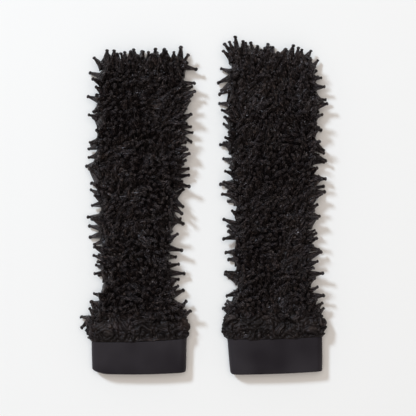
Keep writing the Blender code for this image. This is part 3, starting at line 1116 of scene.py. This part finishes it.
def cuff(warmer):
    """The band: up the outside from the fold, down the inside, and round the fold at the mouth."""
    length = warmer.cuff_length
    alongs = [MOUTH_ROUND + (length - MOUTH_ROUND) * k / CUFF_STEPS for k in range(CUFF_STEPS + 1)]
    outer = [cuff_ring(warmer, along) for along in alongs]
    inner = [cuff_ring(warmer, along, CUFF_WALL) for along in reversed(alongs)]
    mouth = []
    for k in range(1, MOUTH_STEPS):
        angle = math.pi * k / MOUTH_STEPS
        along = MOUTH_ROUND * (1 - math.sin(angle))
        mouth.append(cuff_ring(warmer, along, CUFF_WALL / 2 * (1 + math.cos(angle))))
    mesh = mesh_from_rings(f"{warmer.side}_band", outer + inner + mouth, closed=True, uv_size=CUFF_UV)
    return add_piece(f"{warmer.side}_band", mesh, CUFF)


cuffs = {warmer.side: cuff(warmer) for warmer in WARMERS}

# %% [markdown]
# ## Put each piece on the body
#
# Each piece rides on the imported model's one body, and the imported solid that it stands for is hidden.

for warmer in WARMERS:
    side = warmer.side
    for piece in (grounds[side], gather_rolls[side], spikes[side]):
        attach(piece, "root")
        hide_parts(f"{side}_sleeve")
    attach(cuffs[side], "root")
    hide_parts(f"{side}_cuff")

# %% [markdown]
# ## The table
#
# The table is plain, pale and almost matt, so that it shows the shadows and nothing else. One flat face is
# enough, far wider than the view, so that its edge never shows.

# %% Table
TABLE_COLOUR = (0.9, 0.9, 0.9, 1)
TABLE_HALF = 6.0  # half its width, in metres

corners = [(x * TABLE_HALF, y * TABLE_HALF, 0) for x, y in ((-1, -1), (1, -1), (1, 1), (-1, 1))]
table_mesh = bpy.data.meshes.new("table_top")
table_mesh.from_pydata(corners, [], [(0, 1, 2, 3)])
table = bpy.data.objects.new("table_top", table_mesh)
bpy.context.scene.collection.objects.link(table)
pale = bpy.data.materials.new("pale_table")
pale.use_nodes = True
surface = pale.node_tree.nodes["Principled BSDF"].inputs
surface["Base Color"].default_value = TABLE_COLOUR
surface["Roughness"].default_value = 0.9
surface["Specular IOR Level"].default_value = 0.1
table_mesh.materials.append(pale)
print("table:", 2 * TABLE_HALF, "m wide")

# %% [markdown]
# ## Light
#
# One large soft lamp stands up and to the left. It is a little cool and gives the shadows their side and
# their soft edges. The room fills in the rest and is a little warm, so the shadows on the table look warm.
# A room on its own would reach too far in between the spikes from the sides, so about half of the fill
# comes from a soft box overhead, in the same colour.

# %% Light
FILL = (0.69, 0.635, 0.585)
OVERHEAD_SHARE = 0.55  # of the fill
LAMP_COLOUR = (0.76, 0.89, 1.0)

world = bpy.data.worlds.new("room")
bpy.context.scene.world = world
world.use_nodes = True
background = world.node_tree.nodes["Background"]
background.inputs["Color"].default_value = (*FILL, 1)
background.inputs["Strength"].default_value = 1 - OVERHEAD_SHARE


def add_lamp(name, size, colour, azimuth, elevation, distance, strength):
    """Adds a round lamp aimed at the middle of the table; its angles in degrees, its azimuth from +X."""
    light = bpy.data.lights.new(name, "AREA")
    light.shape = "DISK"
    light.size = size
    light.color = colour
    light.energy = strength * math.pi * distance**2
    lamp = bpy.data.objects.new(name, light)
    rise = math.radians(elevation)
    turn = math.radians(azimuth)
    aim = Vector((math.cos(rise) * math.cos(turn), math.cos(rise) * math.sin(turn), math.sin(rise)))
    lamp.location = distance * aim
    lamp.rotation_euler = aim.to_track_quat("Z", "Y").to_euler()
    bpy.context.scene.collection.objects.link(lamp)
    print(f"{name}: {light.energy:.0f} W")


add_lamp("soft_lamp", 1.2, LAMP_COLOUR, azimuth=135, elevation=42, distance=6.5, strength=2.1)
add_lamp("soft_box", 3.0, FILL, azimuth=90, elevation=85, distance=3.0, strength=3.85 * OVERHEAD_SHARE)

# %% [markdown]
# ## Camera
#
# Things laid out flat are best seen from straight above. From high up with a long lens, the tips of the
# spikes look hardly larger than their feet.

# %% Camera
CAMERA_HEIGHT = 1.6
FIELD = 0.4992  # how much of the table the camera sees, in metres
VIEW_MIDDLE = (0.08244, 0.1963)  # from the middle of the left cuff's mouth, across and along
SENSOR = 36  # mm

eye = bpy.data.cameras.new("overhead")
eye.sensor_width = SENSOR
eye.lens = SENSOR * CAMERA_HEIGHT / FIELD
camera = bpy.data.objects.new("overhead", eye)
mouth_middle = ORIGINS["left"]
camera.location = (mouth_middle.x + VIEW_MIDDLE[0], mouth_middle.y + VIEW_MIDDLE[1], CAMERA_HEIGHT)
bpy.context.scene.collection.objects.link(camera)
bpy.context.scene.camera = camera
bpy.context.scene.view_settings.view_transform = "Standard"
print(f"camera: {eye.lens:.0f} mm lens, {CAMERA_HEIGHT} m up")

# %% [markdown]
# ## Clearing up
#
# The spikes that were only there to be copied go.

# %% Clear up
for pattern in list(pattern_spikes.objects):
    bpy.data.objects.remove(pattern)
bpy.data.collections.remove(pattern_spikes)
